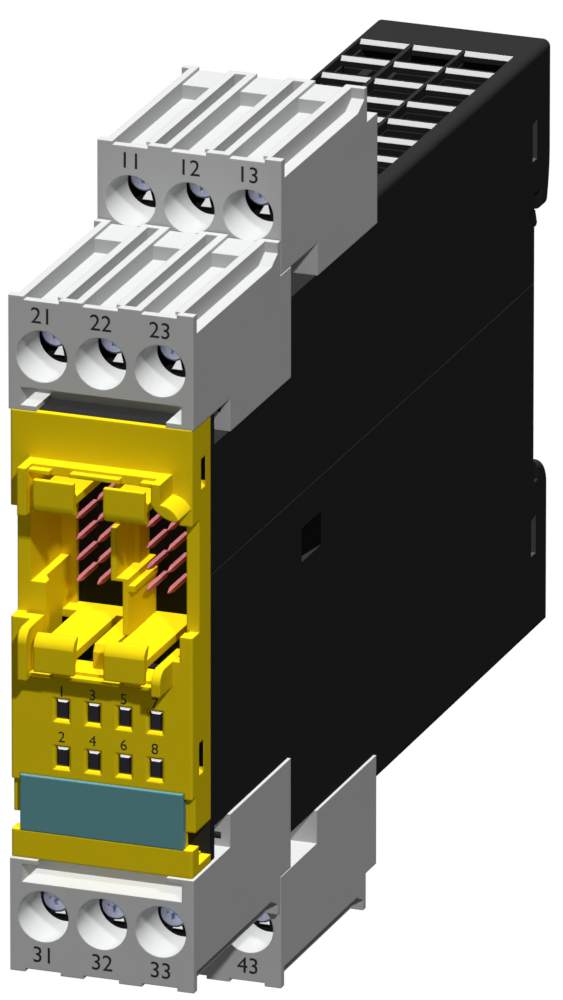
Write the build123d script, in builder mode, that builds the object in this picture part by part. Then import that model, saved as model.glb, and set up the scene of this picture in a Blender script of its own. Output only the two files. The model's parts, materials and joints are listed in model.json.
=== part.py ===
import os
from build123d import *

# Safety expansion module for a 35 mm rail. Millimetres, +Z up, +X right, the front looks along -Y.
# The origin is the middle of the wall that seats on the rail. Depths are counted from the front plane.

# Whole module
front_y = -115.4          # front plane of the lower terminal tier and of the front cap
case_width = 21.9
rear_y = 5.3              # rear face of the case, behind the rail wall
case_wall = 1.2
seam_z = 7.7              # parting plane of the two case halves
seam_gap = 0.06
long_edge_radius = 0.9

# Rail seat
hook_lip_z = 16.0
hook_groove_z = 18.1
hook_groove_depth = 2.54
hook_lip_thickness = 1.6
hook_taper_z = 22.5
bumper_top_z = 16.7
bumper_bottom_z = 14.65
bumper_height = 0.95
foot_top_z = -15.2
foot_radius = 3.6
rail_slot_floor_z = -17.4
rail_slot_front = 0.3
rail_slot_rear = 1.6

# Vent grille in the top and the bottom
vent_rows = 7
vent_row_pitch = 6.57
vent_cell_length = 5.15
vent_last_edge = 112.7    # depth of the rear edge of the rearmost row
vent_columns = ((-10.0, -3.95), (-3.4, 2.6), (3.07, 9.05))
vent_chamfer = 0.5

# Side details of the case
window_depth_range = (36.4, 43.1)
window_z_range = (-0.75, 3.3)
slit_depth_range = (114.7, 116.3)
slit_z_ranges = ((22.9, 27.8), (-26.4, -21.6))
slit_depth = 0.5
flange_length = 1.5

# Plug-in terminal blocks
block_side_proud = 0.3            # the blocks stand this far beyond the case's sides
block_step_gap = 0.3              # between a block and the step of the case behind it
block_depth = 32.0
block_outer = (41.04, 50.55)      # half height over the outer faces: front tier, rear tier
block_front = (0.0, 28.74)        # depth of the front faces: front tier, rear tier
block_front_height = 13.72
block_full_height = 17.74
block_step_depth = 12.0
block_tail_depth = 28.5
block_tail_drop = 4.3
pole_pitch = 7.2
bore_drop = 7.0
bore_radius = 3.1
bore_depth = 7.3
rib_pitch = 7.16
rib_start = 1.83
trough_width = 3.77
trough_depth = 2.1
trough_rear = 22.9
ledge_drop = 0.42
notch_width = 4.34
notch_drop = 0.4
plate_thickness = 1.1
slot_offset = 6.6
slot_width = 1.4
slot_depth = 2.3
slot_rear = 27.6
ramp_start = 25.5
ramp_rise = 1.05
edge_slot_width = 0.9
pry_half_width = 9.8
pry_height = 2.75
pry_depth = 4.75
pry_foot = 0.6
pry_foot_half_width = 7.9

# Inside each pole
pole_half_width = 3.05
head_room_end = 10.9
partition_end = 12.4
contact_gap = 3.5                 # free run behind a clamp that is fully open
clamp_room_top = 3.5
contact_drop = 16.0
contact_channel_height = 3.4
room_floor_wall = 0.7
wire_window_x = (0.55, 2.75)
wire_window_drop = (7.5, 10.2)
screw_x = -1.2
screw_drop = 6.6
screw_head_radius = 1.62
screw_head_front = 8.3
screw_head_height = 2.2
screw_shank_radius = 1.2
screw_end = 21.6
screw_slot = (0.55, 0.9)          # width and depth of the driver slot
screw_fit = 0.05
clamp_front = 13.1
clamp_length = 3.6
clamp_travel = 2.5
clamp_half_width = 2.7
clamp_height = 6.4
strip_thickness = 1.2
strip_half_width = 2.4
socket_half = 0.95
pin_size = 0.8
pin_reach = 4.0                   # the front blocks slide this far to unplug
pin_fit = 0.08
fit_gap = 0.1

# Tab headers behind the blocks
header_height = 3.2
header_depth = 4.0
header_wall_gap = 0.15
pin_tail = 2.6

# Front cap
cap_side_proud = 0.15             # the cap stands this far beyond the case's sides
cap_top_z = 27.25
cap_bottom_z = -27.07
cap_depth = 6.0
cap_plate = 1.8
cap_wall = 1.2
bay_top_z = 15.7
bay_bottom_z = 2.15
bay_setback = 2.35
bay_wall = 0.5
bay_side_land = 1.4
bay_rear = 14.4
bay_mid_z = 8.95                  # the bay mirrors about this height
hood_half_width = 8.7
hood_reach = 4.1
hood_wall = 1.1
hood_top_reach = 2.15
hood_half_height = 12.85
hood_leg_half = 7.15              # the legs end this far from the bay's middle
lip_thickness = 0.45
lip_depth = 1.1
lip_drop = 0.3
right_bar_depth = 4.3
lip_gap_x = ((-5.1, -2.65), (3.4, 5.95))
arm_half_gap = 8.9                # inner face of the arms from the bay's middle
arm_thickness = 0.94
clip_x = ((-6.75, -1.88), (1.8, 6.74))
blade_outer = 11.6
blade_tip = 7.3
blade_thickness = 0.75
arm_root = 9.9
floor_rear = 12.95
step_z = 5.82
step_width = 1.02
step_skirt = 1.6
rear_wall = 0.7
post_x = (-0.29, 0.35)
post_front = 3.9
post_wide_x = 1.05                # the post is this wide from post_wide_front on
post_wide_front = 9.6
post_bottom_z = 6.9
key_x = (1.15, 1.85)
key_shelf = 0.35
key_flange_x = 2.65
key_flange_z = (5.4, 6.15)
mid_rib_x = (-0.9, 1.4)
led_x0 = -4.88
led_pitch = 3.8
led_rows = (-8.56, -14.35)
led_window = (1.68, 2.52)
led_chamfer = 0.26
led_window_gap = 0.05             # between a guide and its window
guide_chamfer = 0.3
label_x = (-9.98, 9.98)
label_z = (-23.75, -16.9)
label_thickness = 1.0
label_proud = 0.15
label_gap = 0.1
shoulder_z = -17.5
shoulder_setback = 1.0
side_gap_z = (-23.75, -21.8)
side_gap_reach = 1.2
strip_notch = (2.1, -26.1)        # depth where it starts, its floor
cap_lip_depth = 0.9               # depth of the cap's upper edge, in front of the case's tongue
tongue_height = 1.1
tongue_half_width = 9.8
slot_upper = ((2.9, 4.3), (19.3, 22.95))
slot_lower = ((2.2, 3.6), (-15.2, -11.3))
side_slot_depth = 0.8

# Bus pin headers in the bay
bus_pitch = 2.54
bus_rows = 5
bus_top_row_z = 14.9
bus_pin = 0.64
bus_pin_tip = 6.9
bus_base_front = 12.95
bus_base_rear = 15.5
bus_centre_x = 4.3
bus_base_half_width = 3.25
bus_base_z = (0.1, 17.8)

# Boards
front_board_half_width = 8.9
front_board_z = (-20.8, 20.8)
board_thickness = 1.6
main_board_x = -5.0
main_board_front = 19.0
main_board_rear = 111.0
board_margin = 2.3
rail_rib = 1.2
led_size = (1.6, 0.9, 2.2)
guide_front = 0.35
guide_base_depth = 1.4

# Rail latch
latch_half_width = 6.0
latch_gap = 0.1
latch_travel = 2.3
rail_edge_z = -17.5               # lower edge of the rail, which the pulled latch clears
latch_front = 1.7
latch_rear = 4.9
latch_tail_z = -39.4
latch_wing_width = 0.9
latch_wing_top_z = -29.5
latch_wing_height = 4.0
latch_wing_rear = 3.9
spring_seat_z = -25.6
spring_top_z = -19.0
spring_wire = 0.5
spring_radius = 1.1
spring_turns = 6

half_width = case_width / 2
guide_size = (led_window[0] - 2 * led_window_gap, led_window[1] - 2 * led_window_gap)
cap_half_width = half_width + cap_side_proud
bay_half_width = half_width - bay_side_land
block_width = case_width + 2 * block_side_proud
latch_top_z = rail_edge_z + latch_travel
clamp_room_end = clamp_front + clamp_length + clamp_travel + contact_gap + strip_thickness + fit_gap
step_half_heights = (23.2, 32.75, 36.3)
step_starts = (cap_depth + fit_gap, block_front[0] + block_depth + block_step_gap,
               block_front[1] + block_depth + block_step_gap)
case_steps = tuple(zip(step_starts, step_half_heights))
case_front = case_steps[0][0]


def depth(value):
    """Global Y of a depth counted from the front plane."""
    return front_y + value


def span(x_range, y_range):
    """Rectangle in the open sketch, from one range to the other."""
    with Locations(((x_range[0] + x_range[1]) / 2, (y_range[0] + y_range[1]) / 2)):
        Rectangle(x_range[1] - x_range[0], y_range[1] - y_range[0])


def side_plane(x=0.0, y=0.0, z=0.0):
    """Plane seen from the right: local x is +Y, local y is +Z, extrusion goes +X."""
    return Plane(origin=(x, y, z), x_dir=(0, 1, 0), z_dir=(1, 0, 0))


def front_plane(y, z=0.0):
    """Plane seen from the front: local x is +X, local y is +Z, extrusion goes -Y."""
    return Plane(origin=(0, y, z), x_dir=(1, 0, 0), z_dir=(0, -1, 0))


def slab(x_range, depth_range, z_range, mode=Mode.ADD):
    """Straight block given by its three ranges, with depths from the front plane."""
    with BuildSketch(front_plane(depth(depth_range[0]))) as profile:
        span(x_range, z_range)
    extrude(profile.sketch, amount=-(depth_range[1] - depth_range[0]), mode=mode)


def write(part, name):
    part.label = name
    export_step(part, f"parts/{name}.step")


def case_outline(inset):
    """Side outline of the case, moved inwards by a wall."""
    (d0, h0), (d1, h1), (d2, h2) = case_steps
    top = [
        (depth(d0), h0 - inset),
        (depth(d1) + inset, h0 - inset),
        (depth(d1) + inset, h1 - inset),
        (depth(d2) + inset, h1 - inset),
        (depth(d2) + inset, h2 - inset),
    ]
    return top


def case_body():
    (d0, h0), (d1, h1), (d2, h2) = case_steps
    top = case_outline(0)
    lip_rear = hook_groove_depth + hook_lip_thickness
    with BuildPart() as body:
        with BuildSketch(side_plane(-half_width)):
            with BuildLine():
                Polyline(*top, (rear_y, h2), (rear_y, hook_taper_z))
                ThreePointArc((rear_y, hook_taper_z), (rear_y - 0.35, 19.2), (lip_rear, hook_lip_z))
                Polyline((lip_rear, hook_lip_z), (hook_groove_depth, hook_lip_z),
                         (hook_groove_depth, hook_groove_z), (0, hook_groove_z), (0, foot_top_z))
                Polyline((0, foot_top_z), (rear_y - foot_radius, foot_top_z))
                RadiusArc((rear_y - foot_radius, foot_top_z), (rear_y, foot_top_z - foot_radius), foot_radius)
                Polyline((rear_y, foot_top_z - foot_radius), (rear_y, -h2),
                         *[(y, -z) for y, z in reversed(top)], top[0])
            make_face()
        extrude(amount=case_width)
        fillet(body.edges().filter_by(Axis.Y).filter_by_position(Axis.Y, depth(d2), rear_y), long_edge_radius)
        with BuildSketch(side_plane(-half_width + case_wall)):
            with BuildLine():
                inner = case_outline(case_wall)
                inner_end = -case_wall
                Polyline(*inner, (inner_end, h2 - case_wall), (inner_end, -h2 + case_wall),
                         *[(y, -z) for y, z in reversed(inner)], inner[0])
            make_face()
        extrude(amount=case_width - 2 * case_wall, mode=Mode.SUBTRACT)
        # slot for the lower edge of the rail and the bumper that presses its upper edge
        with BuildSketch(side_plane(-half_width)):
            span((rail_slot_front, rail_slot_rear), (rail_slot_floor_z, foot_top_z + 1))
        extrude(amount=case_width, mode=Mode.SUBTRACT)
        with BuildSketch(side_plane(-half_width)):
            with BuildLine():
                Polyline((-0.2, bumper_top_z), (0.3, bumper_top_z), (bumper_height, bumper_bottom_z + 0.3),
                         (bumper_height - 0.3, bumper_bottom_z), (-0.2, bumper_bottom_z), close=True)
            make_face()
        extrude(amount=case_width)
        for side in (1, -1):
            vents(side * h2, side)
            side_marks(side)
            front_flange(side, h0)
            pin_window(side)
        board_rails()
        bay_clearance()
        latch_room()
    return body.part


def vents(z, side):
    """Three columns of vent cells, chamfered outside, in the top or the bottom wall."""
    outside = Plane(origin=(0, 0, z), x_dir=(1, 0, 0), z_dir=(0, 0, 1))
    with BuildSketch(outside) as profile:
        for column in vent_columns:
            for row in range(vent_rows):
                end = vent_last_edge - row * vent_row_pitch
                span(column, (depth(end - vent_cell_length), depth(end)))
    extrude(profile.sketch, amount=-side * case_wall, mode=Mode.SUBTRACT)
    rims = edges(Select.LAST).filter_by(Axis.X).filter_by_position(Axis.Z, z - 0.01, z + 0.01)
    chamfer(rims, length=vent_chamfer)


def side_marks(side):
    """Latch window with a sloped floor and two blind slits on one side wall."""
    outside = half_width * side
    with BuildSketch(Plane(origin=(0, 0, window_z_range[0]), x_dir=(1, 0, 0), z_dir=(0, 0, 1))) as profile:
        with BuildLine():
            near, far = (depth(value) for value in window_depth_range)
            Polyline((outside, near), (outside - side * (case_wall - 0.25), near),
                     (outside, far), close=True)
        make_face()
    extrude(profile.sketch, amount=window_z_range[1] - window_z_range[0], mode=Mode.SUBTRACT)
    for z_range in slit_z_ranges:
        x_range = sorted((outside, outside - side * slit_depth))
        slab(x_range, slit_depth_range, z_range, mode=Mode.SUBTRACT)


def front_flange(side, height):
    """Flange behind the cap. The upper one has a tongue that fills the cap's open top."""
    edge = cap_top_z - fit_gap
    z_range = sorted((side * (height - case_wall), side * edge))
    slab((-half_width, half_width), (case_front, case_front + flange_length), z_range)
    if side > 0:
        slab((-tongue_half_width, tongue_half_width), (cap_lip_depth + fit_gap, case_front + 0.1),
             (edge - tongue_height, edge))


def bay_clearance():
    """The side walls are thinner where the cap's bay slides in between them."""
    low, high = bay_z_range()
    reach = bay_half_width + bay_wall + fit_gap
    slab((-reach, reach), (case_front, bay_rear + 0.3), (low - fit_gap, high + fit_gap),
         mode=Mode.SUBTRACT)


def pin_z(tier):
    """Height of the contact pins of a tier above the middle."""
    return block_outer[tier] - contact_drop


def pin_window(side):
    """Slots in the two stepped faces of the case that let the contact pins through."""
    for tier in (0, 1):
        step = case_steps[tier + 1][0]
        z = side * pin_z(tier)
        half = pin_size / 2 + 0.5
        for pole in (-1, 0, 1):
            x = pole * pole_pitch
            slab((x - half, x + half), (step - 1, step + case_wall + 0.5), (z - half, z + half),
                 mode=Mode.SUBTRACT)


def board_rails():
    """Ribs that hold the upper and lower edge of the upright board."""
    height = case_steps[2][1]
    reach = board_margin + 0.6
    for side in (1, -1):
        z_range = sorted((side * (height - case_wall), side * (height - reach)))
        for x in (main_board_x - board_thickness / 2 - fit_gap - rail_rib,
                  main_board_x + board_thickness / 2 + fit_gap):
            for start in (72.0, 104.0):
                slab((x, x + rail_rib), (start, start + 6.0), z_range)


def latch_room():
    """Open channel in the lower rear wall where the rail latch slides, with a peg for its spring."""
    half = latch_half_width + latch_gap
    with BuildSketch(side_plane(-half)) as profile:
        span((latch_front - latch_gap, rear_y + 1), (-case_steps[2][1] - 1, foot_top_z + 1))
    extrude(profile.sketch, amount=2 * half, mode=Mode.SUBTRACT)
    with BuildSketch(side_plane(-half - 1.0)) as profile:
        span((latch_front - latch_gap, latch_wing_rear + latch_gap),
             (-case_steps[2][1] - 1, latch_wing_top_z + latch_gap))
    extrude(profile.sketch, amount=2 * half + 2.0, mode=Mode.SUBTRACT)
    with BuildSketch(side_plane(-spring_radius)) as profile:
        span((latch_front - 0.5, latch_front + 2 * spring_radius + 0.3),
             (spring_seat_z - 1.2, spring_seat_z))
    extrude(profile.sketch, amount=2 * spring_radius)


def case_half(body, side):
    with BuildPart() as half:
        add(body)
        keep = Keep.TOP if side > 0 else Keep.BOTTOM
        split(bisect_by=Plane.XY.offset(seam_z + side * seam_gap / 2), keep=keep)
    return half.part


def terminal_block(tier):
    """Housing of one upper block: ribbed outer face, three bores, a room for each clamp."""
    outer = block_outer[tier]
    near = depth(block_front[tier])
    left = -block_width / 2
    with BuildPart() as block:
        with BuildSketch(side_plane(left, near, outer)):
            with BuildLine():
                Polyline((0, 0), (block_tail_depth, 0), (block_tail_depth, -block_tail_drop),
                         (block_depth, -block_tail_drop), (block_depth, -block_full_height),
                         (block_step_depth, -block_full_height), (block_step_depth, -block_front_height),
                         (0, -block_front_height), close=True)
            make_face()
        extrude(amount=block_width)
        face = Plane(origin=(left, near, outer), x_dir=(1, 0, 0), z_dir=(0, 0, 1))
        starts = [rib_start + pole * rib_pitch for pole in range(3)]
        with BuildSketch(face):
            for start in starts:
                span((start, start + notch_width), (0, plate_thickness))
        extrude(amount=-notch_drop, mode=Mode.SUBTRACT)
        with BuildSketch(face):
            for start in starts:
                span((start, start + trough_width), (plate_thickness, block_tail_depth))
        extrude(amount=-ledge_drop, mode=Mode.SUBTRACT)
        with BuildSketch(face):
            for start in starts:
                span((start, start + trough_width), (plate_thickness, trough_rear))
        extrude(amount=-trough_depth, mode=Mode.SUBTRACT)
        with BuildSketch(face):
            span((0, edge_slot_width), (plate_thickness, slot_rear))
            for pole in (0, 1):
                x = slot_offset + pole * rib_pitch
                span((x, x + slot_width), (plate_thickness, slot_rear))
        extrude(amount=-slot_depth, mode=Mode.SUBTRACT)
        with BuildSketch(side_plane(left + slot_offset + 2 * rib_pitch, near, outer)):
            with BuildLine():
                Polyline((plate_thickness, 0), (slot_rear, 0), (slot_rear, ramp_rise - slot_depth),
                         (ramp_start, -slot_depth), (plate_thickness, -slot_depth), close=True)
            make_face()
        extrude(amount=block_width, mode=Mode.SUBTRACT)
        front = front_plane(near, outer)
        with BuildSketch(front):
            with Locations(*[(pole * pole_pitch, -bore_drop) for pole in (-1, 0, 1)]):
                Circle(bore_radius)
        extrude(amount=-bore_depth, mode=Mode.SUBTRACT)
        with BuildSketch(front):
            top = pry_height - block_front_height
            span((-pry_half_width, pry_half_width), (-block_front_height + pry_foot, top))
            span((-pry_foot_half_width, pry_foot_half_width), (-block_front_height, top))
        extrude(amount=-pry_depth, mode=Mode.SUBTRACT)
        for pole in (-1, 0, 1):
            pole_room(pole * pole_pitch, near, outer)
    return block.part


def pole_room(x, near, outer):
    """Rooms behind one bore: screw head, partition with bearing hole and wire window, clamp, contact."""
    with BuildSketch(front_plane(near + bore_depth, outer)) as profile:
        span((x - pole_half_width, x + pole_half_width),
             (-bore_drop - bore_radius, -bore_drop + bore_radius))
    extrude(profile.sketch, amount=-(head_room_end - bore_depth), mode=Mode.SUBTRACT)
    with BuildSketch(front_plane(near + head_room_end, outer)) as profile:
        with Locations((x + screw_x, -screw_drop)):
            Circle(screw_shank_radius + screw_fit)
        span((x + wire_window_x[0], x + wire_window_x[1]), (-wire_window_drop[1], -wire_window_drop[0]))
    extrude(profile.sketch, amount=-(partition_end - head_room_end), mode=Mode.SUBTRACT)
    floor = -block_full_height + room_floor_wall
    with BuildSketch(side_plane(x - pole_half_width, near, outer)) as profile:
        with BuildLine():
            Polyline((partition_end, -clamp_room_top), (clamp_room_end, -clamp_room_top),
                     (clamp_room_end, floor + contact_channel_height),
                     (block_depth, floor + contact_channel_height), (block_depth, floor),
                     (partition_end + 1.0, floor), (partition_end + 1.0, -block_front_height + 1.0),
                     (partition_end, -block_front_height + 1.0), close=True)
        make_face()
    extrude(profile.sketch, amount=2 * pole_half_width, mode=Mode.SUBTRACT)


def contact_strips(tier):
    """Three contacts of one upper block: a flat strip behind the clamp and a socket for the pin."""
    outer = block_outer[tier]
    near = depth(block_front[tier])
    start = clamp_room_end - strip_thickness - fit_gap
    low = block_full_height - room_floor_wall - fit_gap
    with BuildPart() as strips:
        for pole in (-1, 0, 1):
            x = pole * pole_pitch
            with BuildSketch(front_plane(near + start, outer)):
                span((x - strip_half_width, x + strip_half_width), (-low, -clamp_room_top - fit_gap))
            extrude(amount=-strip_thickness)
            with BuildSketch(front_plane(near + start + strip_thickness, outer)):
                with Locations((x, -contact_drop)):
                    Rectangle(2 * socket_half, 2 * socket_half)
            extrude(amount=-(block_depth - start - strip_thickness - 0.4))
            with BuildSketch(front_plane(near + block_depth, outer)):
                with Locations((x, -contact_drop)):
                    Rectangle(pin_size + 2 * pin_fit, pin_size + 2 * pin_fit)
            extrude(amount=pin_reach + 0.6, mode=Mode.SUBTRACT)
    return strips.part


def screw(x, near, outer):
    """Slotted cheese-head screw along Y."""
    with BuildPart() as item:
        with BuildSketch(front_plane(near + screw_head_front, outer)):
            with Locations((x + screw_x, -screw_drop)):
                Circle(screw_head_radius)
        extrude(amount=-screw_head_height)
        with BuildSketch(front_plane(near + screw_head_front, outer)):
            with Locations((x + screw_x, -screw_drop)):
                Rectangle(4 * screw_head_radius, screw_slot[0])
        extrude(amount=-screw_slot[1], mode=Mode.SUBTRACT)
        with BuildSketch(front_plane(near + screw_head_front + screw_head_height, outer)):
            with Locations((x + screw_x, -screw_drop)):
                Circle(screw_shank_radius)
        extrude(amount=-(screw_end - screw_head_front - screw_head_height))
    return item.part


def clamp(x, near, outer):
    """Clamp body that the screw draws along its axis, with a wire window."""
    with BuildPart() as item:
        with BuildSketch(front_plane(near + clamp_front, outer)):
            with Locations((x, -bore_drop)):
                RectangleRounded(2 * clamp_half_width, clamp_height, 0.6)
            with Locations((x + screw_x, -screw_drop)):
                Circle(screw_shank_radius + screw_fit, mode=Mode.SUBTRACT)
            span_cut((x + wire_window_x[0], x + wire_window_x[1] - 0.5),
                     (-wire_window_drop[1] + 0.6, -wire_window_drop[0] + 1.6))
        extrude(amount=-clamp_length)
    return item.part


def span_cut(x_range, y_range):
    """Rectangle taken out of the open sketch."""
    with Locations(((x_range[0] + x_range[1]) / 2, (y_range[0] + y_range[1]) / 2)):
        Rectangle(x_range[1] - x_range[0], y_range[1] - y_range[0], mode=Mode.SUBTRACT)


def header_front(tier):
    """Depth of the front face of the bar that carries a tier's contact pins."""
    return case_steps[tier + 1][0] + case_wall + header_wall_gap


def tab_header(tier):
    """Black bar inside the case that carries three contact pins of an upper tier."""
    step = header_front(tier)
    z = pin_z(tier)
    top = min(z + header_height / 2, case_steps[tier + 1][1] - case_wall - fit_gap)
    with BuildPart() as bar:
        reach = half_width - case_wall - fit_gap
        slab((-reach, reach), (step, step + header_depth), (top - header_height, top))
        for pole in (-1, 0, 1):
            x = pole * pole_pitch
            half = pin_size / 2 + 0.02
            slab((x - half, x + half), (step, step + header_depth), (z - half, z + half),
                 mode=Mode.SUBTRACT)
    return bar.part


def tab_pins(tier):
    """Three square contact pins of an upper tier, tapered at the free end."""
    near = block_front[tier] + block_depth - pin_reach
    step = header_front(tier)
    z = pin_z(tier)
    with BuildPart() as pins:
        for pole in (-1, 0, 1):
            x = pole * pole_pitch
            half = pin_size / 2
            slab((x - half, x + half), (near, step + header_depth + pin_tail), (z - half, z + half))
        tips = pins.faces().filter_by(Axis.Y).group_by(Axis.Y)[0].edges()
        chamfer(tips, length=pin_size * 0.28)
    return pins.part


def mirrored(part):
    """The same piece below the middle."""
    with BuildPart() as copy:
        mirror(part, about=Plane.XY)
    return copy.part


def bay_z_range():
    """Lowest and highest face of the bay's tube."""
    reach = arm_half_gap + arm_thickness
    return bay_mid_z - reach, bay_mid_z + reach


def front_cap():
    with BuildPart() as cap:
        slab((-cap_half_width, cap_half_width), (0, cap_depth), (cap_bottom_z, cap_top_z))
        inner = cap_half_width - cap_wall
        slab((-inner, inner), (cap_plate, cap_depth), (cap_bottom_z + cap_wall, cap_top_z - cap_wall),
             mode=Mode.SUBTRACT)
        slab((-cap_half_width, cap_half_width), (0, bay_setback), (bay_bottom_z, bay_top_z),
             mode=Mode.SUBTRACT)
        slab((-hood_half_width + hood_wall, hood_half_width - hood_wall), (0, cap_plate),
             (bay_mid_z - hood_half_height + hood_wall, bay_mid_z + hood_half_height - hood_wall),
             mode=Mode.SUBTRACT)
        bay_tube()
        hood()
        for x_range in clip_x:
            clip(x_range, 1)
            clip(x_range, -1)
        divider()
        lower_front()
        reach = tongue_half_width + fit_gap
        slab((-reach, reach), (cap_lip_depth, cap_depth),
             (cap_top_z - tongue_height - 2 * fit_gap, cap_top_z), mode=Mode.SUBTRACT)
        side_slots()
        front_edges = cap.edges().filter_by(Axis.Z).filter_by_position(
            Axis.Y, depth(-0.01), depth(0.01)).filter_by_position(
            Axis.X, cap_half_width - 0.01, cap_half_width + 0.01)
        fillet(front_edges, 0.3)
        left_edges = cap.edges().filter_by(Axis.Z).filter_by_position(
            Axis.Y, depth(-0.01), depth(0.01)).filter_by_position(
            Axis.X, -cap_half_width - 0.01, -cap_half_width + 0.01)
        fillet(left_edges, 0.3)
    return cap.part


def bay_tube():
    """Walls, floor and ceiling of the bay that takes the neighbour's bus plug."""
    outer = bay_half_width + bay_wall
    low, high = bay_z_range()
    slab((-outer, outer), (bay_setback, bay_rear), (low, high))
    slab((-bay_half_width, bay_half_width), (bay_setback, bay_rear), (low + arm_thickness, high - arm_thickness),
         mode=Mode.SUBTRACT)
    slab((-bay_half_width, bay_half_width), (bay_setback, arm_root), (low - 0.01, high + 0.01),
         mode=Mode.SUBTRACT)
    slab((-hood_half_width + hood_wall, bay_half_width), (0, bay_setback), (low - 0.01, high + 0.01),
         mode=Mode.SUBTRACT)
    slab((-bay_half_width, bay_half_width), (floor_rear, bay_rear), (low - 0.01, high + 0.01),
         mode=Mode.SUBTRACT)
    for side in (1, -1):
        header_side = bus_centre_x + bus_base_half_width + fit_gap
        x_range = sorted((side * header_side, side * (bay_half_width + 0.01)))
        slab(x_range, (floor_rear - rear_wall, floor_rear), (low, high))
    # thick lower part of the left wall, with a lead-in at the front
    inside = -bay_half_width + step_width
    with BuildSketch(Plane(origin=(0, 0, low), x_dir=(1, 0, 0), z_dir=(0, 0, 1))) as profile:
        with BuildLine():
            Polyline((-outer, depth(bay_setback)), (inside + 0.85, depth(bay_setback)),
                     (inside + 0.85, depth(bay_setback + 1.2)), (inside, depth(bay_setback + 2.6)),
                     (inside, depth(bay_rear)), (-outer, depth(bay_rear)), close=True)
        make_face()
    extrude(profile.sketch, amount=step_z - low)
    slab((-bay_half_width - 0.05, inside), (bay_setback - 0.6, arm_root), (low - step_skirt, low))


def hood():
    """Raised frame around the bay: an upper and a lower bracket with notched lips."""
    top = bay_mid_z + hood_half_height
    for side in (1, -1):
        edge = bay_mid_z + side * hood_half_height
        leg_end = bay_mid_z + side * hood_leg_half
        if side < 0:
            leg_end = bay_bottom_z
        z_range = sorted((edge, leg_end))
        slab((-hood_half_width, hood_half_width), (-hood_reach, 0), z_range)
        wall_inside = edge - side * hood_wall
        inner = sorted((wall_inside, leg_end))
        slab((-hood_half_width + hood_wall, hood_half_width - hood_wall), (-hood_reach, 0), inner,
             mode=Mode.SUBTRACT)
        # between the legs the wall is shorter and carries thin lips, with a gap over each clip
        x_range = (-hood_half_width + hood_wall, hood_half_width - hood_wall)
        slab(x_range, (-hood_reach, -hood_top_reach), sorted((edge, wall_inside)), mode=Mode.SUBTRACT)
        lip_z = sorted((edge - side * lip_drop, edge - side * (lip_drop + lip_thickness)))
        slab(x_range, (-hood_top_reach - lip_depth, -hood_top_reach), lip_z)
        for gap in lip_gap_x:
            slab(gap, (-hood_reach, -hood_top_reach), sorted((edge, wall_inside)), mode=Mode.SUBTRACT)
    flare(top)
    round_lower_legs()


def flare(top):
    """Upper right leg of the hood, bent outwards as a lead-in for the plug."""
    right = hood_half_width
    start = top - 2.4
    slab((right - hood_wall - 0.01, right + 0.01), (-hood_reach, 0),
         (bay_mid_z + hood_leg_half - 0.01, start), mode=Mode.SUBTRACT)
    with BuildSketch(front_plane(depth(-hood_reach))) as profile:
        with BuildLine():
            Polyline((right - hood_wall, start), (right - hood_wall, start + 0.2), (right, start + 0.2),
                     (right, start))
            ThreePointArc((right, start), (right + 1.4, start - 0.5), (right + 2.25, start - 1.6))
            Polyline((right + 2.25, start - 1.6), (right + 2.0, start - 1.85))
            ThreePointArc((right + 2.0, start - 1.85), (right + 0.35, start - 1.4), (right - hood_wall, start))
        make_face()
    extrude(profile.sketch, amount=-hood_reach)


def round_lower_legs():
    """The lower legs are rounded towards the front, and the right one ends at the arms' level."""
    radius = 1.6
    low = bay_z_range()[0]
    right = hood_half_width - hood_wall
    slab((right - 0.01, hood_half_width + 0.01), (-hood_reach - 0.01, 0), (low, bay_bottom_z + 0.01),
         mode=Mode.SUBTRACT)
    slab((right, hood_half_width), (0, right_bar_depth), (low - 1.6, low))
    for x, top in ((-hood_half_width, bay_bottom_z), (right, low)):
        with BuildSketch(side_plane(x - 0.01, depth(-hood_reach), top)) as profile:
            with BuildLine():
                Polyline((-0.01, 0.01), (-0.01, -radius), (0, -radius))
                ThreePointArc((0, -radius), (radius * 0.293, -radius * 0.293), (radius, 0))
                Polyline((radius, 0), (radius, 0.01), (-0.01, 0.01))
            make_face()
        extrude(profile.sketch, amount=hood_wall + 0.02, mode=Mode.SUBTRACT)


def clip(x_range, side):
    """Sprung arm with a curved blade at its front, above (1) or below (-1) the bay."""
    inner = side * arm_half_gap
    outer = side * (arm_half_gap + arm_thickness)
    with BuildSketch(side_plane(x_range[0], depth(-hood_reach), bay_mid_z)) as profile:
        with BuildLine():
            root = hood_reach + arm_root + 0.2
            Polyline((blade_thickness, side * blade_outer), (0, side * blade_outer),
                     (0, side * (blade_tip + 1.3)))
            ThreePointArc((0, side * (blade_tip + 1.3)), (0.45, side * (blade_tip + 0.45)),
                          (1.6, side * blade_tip))
            Polyline((1.6, side * blade_tip), (1.05, inner), (root, inner), (root, outer),
                     (blade_thickness + 0.5, outer), (blade_thickness, outer + side * 0.5),
                     (blade_thickness, side * blade_outer))
        make_face()
    extrude(profile.sketch, amount=x_range[1] - x_range[0])


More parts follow.
